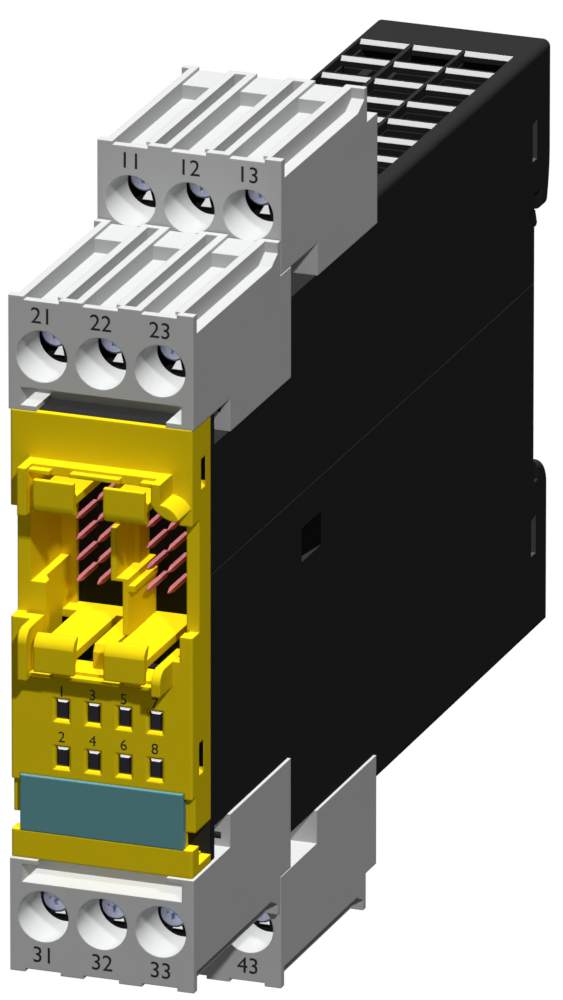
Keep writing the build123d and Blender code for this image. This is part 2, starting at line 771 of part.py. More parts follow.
def divider():
    """Post and coding rib between the two pin headers, and the fixed rib between the lower arms."""
    low = bay_mid_z - arm_half_gap
    high = bay_mid_z + arm_half_gap
    slab(post_x, (post_front + 1.4, bus_base_front), (post_bottom_z - key_shelf, high))
    slab(post_x, (post_front, post_front + 1.5), (post_bottom_z - key_shelf, high - 4.9))
    slab((post_x[0], post_wide_x), (post_wide_front, bus_base_front), (post_bottom_z - key_shelf, high))
    slab((post_x[0], key_x[1]), (post_front, bus_base_front), (post_bottom_z - key_shelf, post_bottom_z))
    slab(key_x, (post_front, bus_base_front), (low, post_bottom_z))
    slab((key_x[1] - 0.01, key_flange_x), (post_front, bus_base_front - 1.6), key_flange_z)
    with BuildSketch(side_plane(mid_rib_x[0], depth(0), 0)) as profile:
        with BuildLine():
            Polyline((-0.3, low - arm_thickness), (-0.3, low - 0.9), (0.3, low), (bus_base_front, low),
                     (bus_base_front, low - arm_thickness), close=True)
        make_face()
    extrude(profile.sketch, amount=mid_rib_x[1] - mid_rib_x[0])
    foot = bay_mid_z - hood_half_height + hood_wall
    slab(mid_rib_x, (-0.3, 1.2), (foot - 0.2, low - arm_thickness + 0.01))


def lower_front():
    """Lamp windows, label seat and the set-back shoulders beside the label."""
    with BuildSketch(front_plane(depth(0))) as profile:
        for row in led_rows:
            for index in range(4):
                with Locations((led_x0 + index * led_pitch, row)):
                    Rectangle(*led_window)
    extrude(profile.sketch, amount=-cap_plate, mode=Mode.SUBTRACT)
    rims = edges(Select.LAST).filter_by_position(Axis.Y, depth(-0.01), depth(0.01))
    chamfer(rims, length=led_chamfer)
    slab((-cap_half_width, cap_half_width), (0, shoulder_setback), (side_gap_z[0], shoulder_z),
         mode=Mode.SUBTRACT)
    seat_x = (label_x[0] - label_gap, label_x[1] + label_gap)
    slab(seat_x, (0, label_thickness - label_proud), (shoulder_z, label_z[1] + label_gap), mode=Mode.SUBTRACT)
    for side in (1, -1):
        x_range = sorted((side * (cap_half_width + 1), side * (cap_half_width - side_gap_reach)))
        slab(x_range, (0, cap_depth), side_gap_z, mode=Mode.SUBTRACT)
        slab(x_range, (strip_notch[0], cap_depth), (strip_notch[1], side_gap_z[1]), mode=Mode.SUBTRACT)


def side_slots():
    """Two blind slots in each side of the cap, with a sloped lower end."""
    for side in (1, -1):
        outside = side * cap_half_width
        for depth_range, z_range in (slot_upper, slot_lower):
            with BuildSketch(front_plane(depth(depth_range[0]))) as profile:
                with BuildLine():
                    inside = outside - side * side_slot_depth
                    Polyline((outside, z_range[1]), (inside, z_range[1]), (inside, z_range[0] + 0.6),
                             (outside, z_range[0]), close=True)
                make_face()
            extrude(profile.sketch, amount=-(depth_range[1] - depth_range[0]), mode=Mode.SUBTRACT)


def label_plate():
    with BuildPart() as plate:
        start = -label_proud
        slab(label_x, (start, start + label_thickness), label_z)
        rim = plate.faces().sort_by(Axis.Y)[0].edges()
        chamfer(rim, length=0.12)
    return plate.part


def light_guide(row):
    """Clear moulding with four posts that carry the lamps' light to one row of windows."""
    board_front = bus_base_rear
    base_end = board_front - led_size[1] - 0.2
    with BuildPart() as guide:
        with BuildSketch(front_plane(depth(guide_front))):
            for index in range(4):
                with Locations((led_x0 + index * led_pitch, row)):
                    Rectangle(*guide_size)
        extrude(amount=-(base_end - guide_front))
        tips = guide.faces().filter_by_position(Axis.Y, depth(guide_front - 0.01), depth(guide_front + 0.01))
        chamfer(tips.edges(), length=guide_chamfer)
        last = led_x0 + 3 * led_pitch
        slab((led_x0 - 1.4, last + 1.4), (base_end - guide_base_depth, base_end), (row - 1.6, row + 1.6))
    return guide.part


def front_board():
    with BuildPart() as board:
        slab((-front_board_half_width, front_board_half_width),
             (bus_base_rear, bus_base_rear + board_thickness), front_board_z)
    return board.part


def indicator_lamps():
    with BuildPart() as lamps:
        width, thick, height = led_size
        with BuildSketch(front_plane(depth(bus_base_rear - thick))):
            for row in led_rows:
                for index in range(4):
                    with Locations((led_x0 + index * led_pitch, row)):
                        Rectangle(width, height)
        extrude(amount=-thick)
    return lamps.part


def bus_base(side):
    x = side * bus_centre_x
    with BuildPart() as base:
        slab((x - bus_base_half_width, x + bus_base_half_width), (bus_base_front, bus_base_rear), bus_base_z)
        with BuildSketch(front_plane(depth(bus_base_front))):
            for column in (-0.5, 0.5):
                for row in range(bus_rows):
                    with Locations((x + column * bus_pitch, bus_top_row_z - row * bus_pitch)):
                        Rectangle(bus_pin + 0.02, bus_pin + 0.02)
        extrude(amount=-(bus_base_rear - bus_base_front), mode=Mode.SUBTRACT)
    return base.part


def bus_pins(side):
    x = side * bus_centre_x
    with BuildPart() as pins:
        with BuildSketch(front_plane(depth(bus_pin_tip))):
            for column in (-0.5, 0.5):
                for row in range(bus_rows):
                    with Locations((x + column * bus_pitch, bus_top_row_z - row * bus_pitch)):
                        Rectangle(bus_pin, bus_pin)
        extrude(amount=-(bus_base_rear - bus_pin_tip))
        tips = pins.faces().filter_by(Axis.Y).group_by(Axis.Y)[0].edges()
        chamfer(tips, length=bus_pin * 0.3)
    return pins.part


def main_board():
    """Upright board that follows the stepped case."""
    gap = board_margin
    points = []
    for index, (start, height) in enumerate(case_steps):
        begin = main_board_front if index == 0 else header_front(index - 1) + header_depth + fit_gap
        end = header_front(index) + header_depth + fit_gap if index < 2 else main_board_rear
        points += [(depth(begin), height - gap), (depth(end), height - gap)]
    with BuildPart() as board:
        with BuildSketch(side_plane(main_board_x - board_thickness / 2)):
            with BuildLine():
                Polyline(*points, *[(y, -z) for y, z in reversed(points)], close=True)
            make_face()
        extrude(amount=board_thickness)
    return board.part


def board_parts():
    """Larger parts soldered to the upright board."""
    face = main_board_x + board_thickness / 2
    with BuildPart() as parts:
        slab((face, face + 8.5), (70, 86), (2, 20))
        slab((face, face + 5.5), (90, 98), (-22, -6))
        slab((face, face + 1.6), (44, 56), (-8, 4))
        slab((face, face + 1.6), (26, 34), (6, 16))
        with BuildSketch(side_plane(face)):
            with Locations((depth(100), 12), (depth(100), 24), (depth(78), -14)):
                Circle(3.9)
        extrude(amount=10.5)
    return parts.part


def board_link():
    """Plug connector between the upright board and the front board."""
    face = main_board_x + board_thickness / 2
    with BuildPart() as link:
        slab((face, face + 4.0), (bus_base_rear + board_thickness, main_board_front + 4.0), (-9, 9))
    return link.part


def rail_latch():
    """Sliding latch: nose behind the rail's lower edge, tail below the case for a screwdriver."""
    tail = latch_tail_z
    with BuildPart() as latch:
        with BuildSketch(side_plane(-latch_half_width)):
            with BuildLine():
                nose = 2.6
                Polyline((latch_front, latch_top_z), (latch_rear - nose, latch_top_z))
                RadiusArc((latch_rear - nose, latch_top_z), (latch_rear, latch_top_z - nose), nose)
                Polyline((latch_rear, latch_top_z - nose), (latch_rear, tail), (latch_front, tail),
                         (latch_front, latch_top_z))
            make_face()
        extrude(amount=2 * latch_half_width)
        wing = latch_half_width + latch_wing_width
        slab((-wing, wing), (latch_front - front_y, latch_wing_rear - front_y),
             (latch_wing_top_z - latch_wing_height, latch_wing_top_z))
        room = spring_radius + 0.35
        slab((-room, room), (latch_front - front_y - 0.01, latch_front + 2 * spring_radius + 0.6 - front_y),
             (spring_seat_z - 1.2 - 0.4, spring_top_z), mode=Mode.SUBTRACT)
        slab((-2.0, 2.0), (latch_front - front_y - 0.01, latch_rear - front_y + 0.01), (tail + 1.0, tail + 2.2),
             mode=Mode.SUBTRACT)
    return latch.part


def latch_spring():
    """Coil spring in the pocket of the latch, pressed between its floor and the case."""
    length = spring_top_z - spring_seat_z - spring_wire - 2 * fit_gap
    with BuildPart() as spring:
        with BuildLine(Plane.XY.offset(spring_seat_z + spring_wire / 2 + fit_gap)):
            path = Helix(pitch=length / spring_turns, height=length, radius=spring_radius - spring_wire / 2,
                         center=(0, latch_front + spring_radius + 0.25, 0))
        with BuildSketch(Plane(origin=path @ 0, z_dir=path % 0)):
            Circle(spring_wire / 2)
        sweep(path=path)
    return spring.part


os.makedirs("parts", exist_ok=True)

whole_case = case_body()
write(case_half(whole_case, 1), "case_upper")
write(case_half(whole_case, -1), "case_lower")
write(front_cap(), "front_cap")
write(label_plate(), "label_plate")
write(light_guide(led_rows[0]), "light_guide_upper")
write(light_guide(led_rows[1]), "light_guide_lower")
write(indicator_lamps(), "indicator_lamps")
write(front_board(), "front_board")
write(main_board(), "main_board")
write(board_parts(), "board_parts")
write(board_link(), "board_link")
write(bus_base(-1), "bus_header_left")
write(bus_base(1), "bus_header_right")
write(bus_pins(-1), "bus_pins_left")
write(bus_pins(1), "bus_pins_right")
write(rail_latch(), "rail_latch")
write(latch_spring(), "latch_spring")

tier_names = ("front", "rear")
for tier, tier_name in enumerate(tier_names):
    pieces = {
        "block": terminal_block(tier),
        "contacts": contact_strips(tier),
        "tab_header": tab_header(tier),
        "tab_pins": tab_pins(tier),
    }
    for pole in range(3):
        pole_x = (pole - 1) * pole_pitch
        near = depth(block_front[tier])
        pieces[f"screw_{pole + 1}"] = screw(pole_x, near, block_outer[tier])
        pieces[f"clamp_{pole + 1}"] = clamp(pole_x, near, block_outer[tier])
    for name, piece in pieces.items():
        write(piece, f"upper_{tier_name}_{name}")
        write(mirrored(piece), f"lower_{tier_name}_{name}")
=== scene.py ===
import bpy, bmesh, json, math
from mathutils import Matrix, Vector


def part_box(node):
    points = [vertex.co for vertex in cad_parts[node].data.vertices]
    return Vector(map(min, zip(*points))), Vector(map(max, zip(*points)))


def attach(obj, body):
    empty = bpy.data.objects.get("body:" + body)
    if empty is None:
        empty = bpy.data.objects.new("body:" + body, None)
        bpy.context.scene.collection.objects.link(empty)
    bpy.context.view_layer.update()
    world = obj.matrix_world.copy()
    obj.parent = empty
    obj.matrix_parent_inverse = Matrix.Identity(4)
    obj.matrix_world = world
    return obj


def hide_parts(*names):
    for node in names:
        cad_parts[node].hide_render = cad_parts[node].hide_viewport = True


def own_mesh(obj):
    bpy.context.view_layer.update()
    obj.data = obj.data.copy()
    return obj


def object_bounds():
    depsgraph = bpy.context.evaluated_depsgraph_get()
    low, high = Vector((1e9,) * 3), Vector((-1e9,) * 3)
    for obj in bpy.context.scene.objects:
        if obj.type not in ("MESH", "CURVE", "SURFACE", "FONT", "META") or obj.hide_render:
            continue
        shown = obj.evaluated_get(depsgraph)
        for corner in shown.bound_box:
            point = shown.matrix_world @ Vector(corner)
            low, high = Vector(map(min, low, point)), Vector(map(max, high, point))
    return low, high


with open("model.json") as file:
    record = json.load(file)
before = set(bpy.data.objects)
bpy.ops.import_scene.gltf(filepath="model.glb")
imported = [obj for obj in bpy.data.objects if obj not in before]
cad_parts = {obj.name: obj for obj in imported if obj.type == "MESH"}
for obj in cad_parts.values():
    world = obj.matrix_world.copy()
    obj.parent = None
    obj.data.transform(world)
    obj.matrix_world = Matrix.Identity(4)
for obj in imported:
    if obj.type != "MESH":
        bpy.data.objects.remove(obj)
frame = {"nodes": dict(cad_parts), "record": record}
nodes = frame["nodes"]
scene = bpy.context.scene
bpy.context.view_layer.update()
mm = 0.001
frontY = -115.4    # front plane of the lower tier, mm

cameraView = {
    "lens": 950.0,
    "sensor": 36.0,
    "target": (-0.24, -55.5, -2.37),    # mm
    "azimuth": 20.32,
    "elevation": 19.57,
    "distance": 3068.7,    # mm
    "roll": 0.03,
    "clip": (0.1, 20.0),    # m
}


def aimCamera():
    data = bpy.data.cameras.new("photoCamera")
    data.lens = cameraView["lens"]
    data.sensor_width = cameraView["sensor"]
    data.clip_start, data.clip_end = cameraView["clip"]
    camera = bpy.data.objects.new("photoCamera", data)
    scene.collection.objects.link(camera)
    a, e = math.radians(cameraView["azimuth"]), math.radians(cameraView["elevation"])
    back = Vector((math.sin(a) * math.cos(e), -math.cos(a) * math.cos(e), math.sin(e)))
    turn = back.to_track_quat("Z", "Y")
    roll = Matrix.Rotation(math.radians(cameraView["roll"]), 3, "Z").to_quaternion()
    camera.rotation_mode = "QUATERNION"
    camera.rotation_quaternion = turn @ roll
    camera.location = (Vector(cameraView["target"]) + back * cameraView["distance"]) * mm
    scene.camera = camera


aimCamera()
print("camera placed")


# Small helpers for node trees

def addNode(tree, kind, values=None, **settings):
    node = tree.nodes.new(kind)
    for name, value in settings.items():
        setattr(node, name, value)
    for name, value in (values or {}).items():
        socket = node.inputs[name]
        if isinstance(value, bpy.types.NodeSocket):
            tree.links.new(value, socket)
        else:
            socket.default_value = value
    return node


def newGroup(name, inputs, outputs):
    tree = bpy.data.node_groups.new(name, "ShaderNodeTree")
    for label, kind, value in inputs:
        tree.interface.new_socket(label, in_out="INPUT", socket_type=kind).default_value = value
    for label, kind in outputs:
        tree.interface.new_socket(label, in_out="OUTPUT", socket_type=kind)
    return tree, addNode(tree, "NodeGroupInput"), addNode(tree, "NodeGroupOutput")


def calc(tree, a, b, operation="ADD"):
    # one arithmetic node, two numbers or sockets in and a socket out
    return addNode(tree, "ShaderNodeMath", {0: a, 1: b}, operation=operation).outputs[0]


def makeGrain():
    # spark-eroded mould texture with slow blotches, on Object coordinates
    tree, entry, out = newGroup("mouldGrain", [
        ("Vector", "NodeSocketVector", (0, 0, 0)),
        ("Grain Scale", "NodeSocketFloat", 9000.0),
        ("Blotch Scale", "NodeSocketFloat", 120.0),
        ("Blotch", "NodeSocketFloat", 0.05),
        ("Gloss Change", "NodeSocketFloat", 0.08),
    ], [("Height", "NodeSocketFloat"), ("Tone", "NodeSocketFloat"), ("Gloss", "NodeSocketFloat")])
    fine = addNode(tree, "ShaderNodeTexNoise", {
        "Vector": entry.outputs["Vector"], "Scale": entry.outputs["Grain Scale"],
        "Detail": 2.0, "Roughness": 0.6})
    slow = addNode(tree, "ShaderNodeTexNoise", {
        "Vector": entry.outputs["Vector"], "Scale": entry.outputs["Blotch Scale"],
        "Detail": 3.0, "Roughness": 0.55})
    centred = calc(tree, slow.outputs["Fac"], 0.5, "SUBTRACT")
    tone = calc(tree, calc(tree, centred, entry.outputs["Blotch"], "MULTIPLY"), 1.0)
    gloss = calc(tree, centred, entry.outputs["Gloss Change"], "MULTIPLY")
    tree.links.new(fine.outputs["Fac"], out.inputs["Height"])
    tree.links.new(tone, out.inputs["Tone"])
    tree.links.new(gloss, out.inputs["Gloss"])
    return tree


# Edges lighter: partly rubbed wear, partly a painted highlight along the edges
rubHighlightShape = {
    "bend": (0.995, 0.8),       # dot product of both normals where rubbing starts and is full
    "patchScale": 700.0,
    "patch": (0.35, 0.65),      # noise values where the rubbing fades out and in
    "patchLeast": 0.3,
    "lift": 0.01,               # added to each channel of a rubbed colour
}


def makeWear():
    # mask of rubbed edges, also used as a painted edge highlight, from how far the rounded normal leaves the
    # face's own
    tree, entry, out = newGroup("edgeRubHighlight", [
        ("Vector", "NodeSocketVector", (0, 0, 0)),
        ("Radius", "NodeSocketFloat", 0.0002),
        ("Amount", "NodeSocketFloat", 0.5),
    ], [("Mask", "NodeSocketFloat"), ("Normal", "NodeSocketVector")])
    bevel = addNode(tree, "ShaderNodeBevel", {"Radius": entry.outputs["Radius"]}, samples=6)
    geometry = addNode(tree, "ShaderNodeNewGeometry")
    dot = addNode(tree, "ShaderNodeVectorMath", {
        0: bevel.outputs["Normal"], 1: geometry.outputs["Normal"]}, operation="DOT_PRODUCT")
    bend = addNode(tree, "ShaderNodeMapRange", {
        "Value": dot.outputs["Value"], "From Min": rubHighlightShape["bend"][0], "From Max": rubHighlightShape["bend"][1],
        "To Min": 0.0, "To Max": 1.0})
    patch = addNode(tree, "ShaderNodeTexNoise", {
        "Vector": entry.outputs["Vector"], "Scale": rubHighlightShape["patchScale"], "Detail": 3.0})
    broken = addNode(tree, "ShaderNodeMapRange", {
        "Value": patch.outputs["Fac"], "From Min": rubHighlightShape["patch"][0], "From Max": rubHighlightShape["patch"][1],
        "To Min": rubHighlightShape["patchLeast"], "To Max": 1.0})
    mask = calc(tree, calc(tree, bend.outputs["Result"], broken.outputs["Result"], "MULTIPLY"),
                entry.outputs["Amount"], "MULTIPLY")
    tree.links.new(mask, out.inputs["Mask"])
    tree.links.new(bevel.outputs["Normal"], out.inputs["Normal"])
    return tree


def makeBoxMask():
    # 1 inside a box that is mirrored about the middle planes, 0 outside it
    tree, entry, out = newGroup("boxMask", [
        ("Vector", "NodeSocketVector", (0, 0, 0)),
        ("Middle", "NodeSocketVector", (0, 0, 0)),
        ("Half Size", "NodeSocketVector", (0, 0, 0)),
    ], [("Mask", "NodeSocketFloat")])
    folded = addNode(tree, "ShaderNodeVectorMath", {0: entry.outputs["Vector"]}, operation="ABSOLUTE")
    shifted = addNode(tree, "ShaderNodeVectorMath", {
        0: folded.outputs[0], 1: entry.outputs["Middle"]}, operation="SUBTRACT")
    away = addNode(tree, "ShaderNodeVectorMath", {0: shifted.outputs[0]}, operation="ABSOLUTE")
    spare = addNode(tree, "ShaderNodeVectorMath", {
        0: entry.outputs["Half Size"], 1: away.outputs[0]}, operation="SUBTRACT")
    parts = addNode(tree, "ShaderNodeSeparateXYZ", {0: spare.outputs[0]})
    least = calc(tree, calc(tree, parts.outputs[0], parts.outputs[1], "MINIMUM"), parts.outputs[2], "MINIMUM")
    tree.links.new(calc(tree, least, 0.0, "GREATER_THAN"), out.inputs["Mask"])
    return tree


def makeFacetMask():
    # 1 on faces that look along one direction
    tree, entry, out = newGroup("facetMask", [
        ("Direction", "NodeSocketVector", (0, -0.7071, 0.7071)),
        ("Limit", "NodeSocketFloat", 0.93),
    ], [("Mask", "NodeSocketFloat")])
    geometry = addNode(tree, "ShaderNodeNewGeometry")
    dot = addNode(tree, "ShaderNodeVectorMath", {
        0: geometry.outputs["True Normal"], 1: entry.outputs["Direction"]}, operation="DOT_PRODUCT")
    mask = calc(tree, dot.outputs["Value"], entry.outputs["Limit"], "GREATER_THAN")
    tree.links.new(mask, out.inputs["Mask"])
    return tree


grainGroup = makeGrain()
rubHighlightGroup = makeWear()
boxGroup = makeBoxMask()
facetGroup = makeFacetMask()
print("shader groups built")


bumpDepth = 0.0001    # m


def startMaterial(name):
    material = bpy.data.materials.new(name)
    material.use_nodes = True
    tree = material.node_tree
    tree.nodes.clear()
    shader = addNode(tree, "ShaderNodeBsdfPrincipled")
    output = addNode(tree, "ShaderNodeOutputMaterial", {"Surface": shader.outputs[0]})
    return material, tree, shader, output


def colorTimes(tree, color, factor):
    mixer = addNode(tree, "ShaderNodeMix", {"Factor": 1.0}, data_type="RGBA", blend_type="MULTIPLY")
    mixer.inputs["A"].default_value = (*color, 1)
    combine = addNode(tree, "ShaderNodeCombineColor", {"Red": factor, "Green": factor, "Blue": factor})
    tree.links.new(combine.outputs[0], mixer.inputs["B"])
    return mixer.outputs["Result"]


def paintBox(tree, place, base, low, high, color, facet=None):
    # painted shade and painted highlights: another colour inside a box given by its corners in mm, folded to
    # the positive side;
    # with a facet direction, only on the faces that look that way
    box = addNode(tree, "ShaderNodeGroup", node_tree=boxGroup)
    tree.links.new(place, box.inputs["Vector"])
    box.inputs["Middle"].default_value = [(a + b) / 2 * mm for a, b in zip(low, high)]
    box.inputs["Half Size"].default_value = [(b - a) / 2 * mm for a, b in zip(low, high)]
    mask = box.outputs["Mask"]
    if facet:
        facing = addNode(tree, "ShaderNodeGroup", node_tree=facetGroup)
        facing.inputs["Direction"].default_value = facet
        mask = calc(tree, mask, facing.outputs["Mask"], "MULTIPLY")
    mixer = addNode(tree, "ShaderNodeMix", {"Factor": mask}, data_type="RGBA")
    tree.links.new(base, mixer.inputs["A"])
    mixer.inputs["B"].default_value = (*color, 1)
    return mixer.outputs["Result"]


def mouldedPlastic(name, color, rough=0.45, grain=9000.0, bump=0.03, blotch=0.06, rubHighlightTint=1.15,
                   rubHighlight=0.5, radius=0.00018, specular=0.04, glossChange=0.1, shadeAndLight=()):
    material, tree, shader, output = startMaterial(name)
    place = addNode(tree, "ShaderNodeTexCoord").outputs["Object"]
    texture = addNode(tree, "ShaderNodeGroup", node_tree=grainGroup)
    for label, value in (("Grain Scale", grain), ("Blotch", blotch), ("Gloss Change", glossChange)):
        texture.inputs[label].default_value = value
    rubHighlightNode = addNode(tree, "ShaderNodeGroup", node_tree=rubHighlightGroup)
    rubHighlightNode.inputs["Radius"].default_value = radius
    rubHighlightNode.inputs["Amount"].default_value = rubHighlight
    tree.links.new(place, texture.inputs["Vector"])
    tree.links.new(place, rubHighlightNode.inputs["Vector"])
    plain = colorTimes(tree, color, texture.outputs["Tone"])
    # lighter colour on the edges: rubbed wear and a painted highlight
    rubHighlightColor = tuple(min(1.0, c * rubHighlightTint + rubHighlightShape["lift"]) for c in color)
    mixer = addNode(tree, "ShaderNodeMix", {"Factor": rubHighlightNode.outputs["Mask"]}, data_type="RGBA")
    tree.links.new(plain, mixer.inputs["A"])
    mixer.inputs["B"].default_value = (*rubHighlightColor, 1)
    painted = mixer.outputs["Result"]
    # painted shade and painted highlights at the listed places
    for spot in shadeAndLight:
        painted = paintBox(tree, place, painted, *shadeAndLightPlaces[spot])
    tree.links.new(painted, shader.inputs["Base Color"])
    tree.links.new(calc(tree, texture.outputs["Gloss"], rough), shader.inputs["Roughness"])
    bumpNode = addNode(tree, "ShaderNodeBump", {
        "Height": texture.outputs["Height"], "Strength": bump, "Distance": bumpDepth,
        "Normal": rubHighlightNode.outputs["Normal"]})
    tree.links.new(bumpNode.outputs["Normal"], shader.inputs["Normal"])
    shader.inputs["Specular IOR Level"].default_value = specular
    return material


metalStains = {
    "grid": (60.0, 60.0, 60.0),
    "scale": 60.0,
    "detail": 4.0,
    "noise": (0.3, 0.7),        # noise values where a stain ends and starts
    "tone": (0.85, 1.08),
    "bump": 0.06,
}


def platedMetal(name, color, rough=0.3, radius=0.00008, dull=0.15, metallic=1.0):
    material, tree, shader, output = startMaterial(name)
    place = addNode(tree, "ShaderNodeTexCoord").outputs["Object"]
    rubHighlightNode = addNode(tree, "ShaderNodeGroup", node_tree=rubHighlightGroup)
    rubHighlightNode.inputs["Radius"].default_value = radius
    tree.links.new(place, rubHighlightNode.inputs["Vector"])
    mapped = addNode(tree, "ShaderNodeMapping", {"Vector": place, "Scale": metalStains["grid"]})
    noise = addNode(tree, "ShaderNodeTexNoise", {
        "Vector": mapped.outputs[0], "Scale": metalStains["scale"], "Detail": metalStains["detail"]})
    few, many = metalStains["noise"]
    tone = addNode(tree, "ShaderNodeMapRange", {
        "Value": noise.outputs["Fac"], "From Min": few, "From Max": many,
        "To Min": metalStains["tone"][0], "To Max": metalStains["tone"][1]})
    tree.links.new(colorTimes(tree, color, tone.outputs["Result"]), shader.inputs["Base Color"])
    spread = addNode(tree, "ShaderNodeMapRange", {
        "Value": noise.outputs["Fac"], "From Min": few, "From Max": many,
        "To Min": rough, "To Max": rough + dull})
    tree.links.new(spread.outputs["Result"], shader.inputs["Roughness"])
    bumpNode = addNode(tree, "ShaderNodeBump", {
        "Height": noise.outputs["Fac"], "Strength": metalStains["bump"], "Distance": bumpDepth,
        "Normal": rubHighlightNode.outputs["Normal"]})
    tree.links.new(bumpNode.outputs["Normal"], shader.inputs["Normal"])
    shader.inputs["Metallic"].default_value = metallic
    return material


boardTracks = {    # m, and shares
    "width": 0.00012,
    "length": 0.0051,
    "rowHeight": 0.00127,
    "shift": 0.37,
    "squash": 1.6,
    "squashRows": 3,
    "holeScale": 330.0,
    "holeEdge": (0.16, 0.12),
    "gloss": 0.28,
    "tint": (2.1, 0.02),        # a track's colour from the board's, times and plus
    "bump": (0.3, 0.00004),     # strength and height
}


def circuitBoard(name, color, copper, axis):
    # lacquer over tracks: thin lighter lines on a grid, with plated holes
    material, tree, shader, output = startMaterial(name)
    place = addNode(tree, "ShaderNodeTexCoord").outputs["Object"]
    mapped = addNode(tree, "ShaderNodeMapping", {"Vector": place, "Rotation": axis})
    brick = addNode(tree, "ShaderNodeTexBrick", {
        "Vector": mapped.outputs[0], "Scale": 1.0, "Mortar Size": boardTracks["width"],
        "Brick Width": boardTracks["length"], "Row Height": boardTracks["rowHeight"], "Mortar Smooth": 0.1},
        offset=boardTracks["shift"], squash=boardTracks["squash"], squash_frequency=boardTracks["squashRows"])
    tracks = calc(tree, brick.outputs["Fac"], 1.0, "MULTIPLY")
    tracks.node.use_clamp = True
    dots = addNode(tree, "ShaderNodeTexVoronoi", {
        "Vector": mapped.outputs[0], "Scale": boardTracks["holeScale"], "Randomness": 0.7})
    holes = addNode(tree, "ShaderNodeMapRange", {
        "Value": dots.outputs["Distance"], "From Min": boardTracks["holeEdge"][0],
        "From Max": boardTracks["holeEdge"][1], "To Min": 0.0, "To Max": 1.0})
    base = addNode(tree, "ShaderNodeMix", {"Factor": tracks}, data_type="RGBA")
    base.inputs["A"].default_value = (*color, 1)
    times, plus = boardTracks["tint"]
    base.inputs["B"].default_value = (*[min(1, c * times + plus) for c in color], 1)
    top = addNode(tree, "ShaderNodeMix", {"Factor": holes.outputs["Result"]}, data_type="RGBA")
    tree.links.new(base.outputs["Result"], top.inputs["A"])
    top.inputs["B"].default_value = (*copper, 1)
    tree.links.new(top.outputs["Result"], shader.inputs["Base Color"])
    tree.links.new(holes.outputs["Result"], shader.inputs["Metallic"])
    shader.inputs["Roughness"].default_value = boardTracks["gloss"]
    strength, rise = boardTracks["bump"]
    bumpNode = addNode(tree, "ShaderNodeBump", {"Height": tracks, "Strength": strength, "Distance": rise})
    tree.links.new(bumpNode.outputs["Normal"], shader.inputs["Normal"])
    return material


# Colours of painted shade in rooms, slots and windows, of painted highlights on chamfers, guide tips and ramp
# tops, and of painted light in the side slits
shadeAndLightColors = {
    "roomShade": (0.004, 0.004, 0.004),
    "ventHighlight": (0.42, 0.42, 0.42),
    "guideHighlight": (0.5, 0.5, 0.55),
    "slotShade": (0.006, 0.003, 0.008),
    "rampLight": (0.42, 0.43, 0.42),
    "windowShade": (0.006, 0.006, 0.0065),
    "slitLight": (0.06, 0.06, 0.06),
}
chamferUp = (0, -0.7071, 0.7071)
rampUp = (0, -0.3, 0.95)
# Painted shade and painted highlights inside one moulding, in mm: low corner, high corner, colour, facet
# direction
shadeAndLightPlaces = {
    "frontRoomShade": ((0, 102.4, 30.85), (10.45, 108.08, 37.2), shadeAndLightColors["roomShade"]),
    "rearRoomShade": ((0, 73.6, 40.35), (10.45, 79.34, 46.7), shadeAndLightColors["roomShade"]),
    "ventChamferHighlights": ((0, 0, 35.6), (10.3, 50, 36.4), shadeAndLightColors["ventHighlight"], chamferUp),
    "upperSlotShade": ((10.2, 111.0, 19.95), (11.07, 112.6, 22.9), shadeAndLightColors["slotShade"]),
    "lowerSlotShade": ((10.2, 111.7, 11.3), (11.07, 113.0, 14.6), shadeAndLightColors["slotShade"]),
    "guideTipHighlights": ((0, 110, 5), (8, 116, 17), shadeAndLightColors["guideHighlight"], chamferUp),
    "windowShadeLow": ((9.95, 72.2, 0), (10.93, 79.05, 0.735), shadeAndLightColors["windowShade"]),
    "windowShadeHigh": ((9.95, 72.2, 0.765), (10.93, 79.05, 3.32), shadeAndLightColors["windowShade"]),
    "sideSlitLight": ((10.4, 0, 21.5), (10.93, 0.95, 27.85), shadeAndLightColors["slitLight"]),
    "rampTopLight": ((0, 0, 0), (20, 120, 60), shadeAndLightColors["rampLight"], rampUp),
}

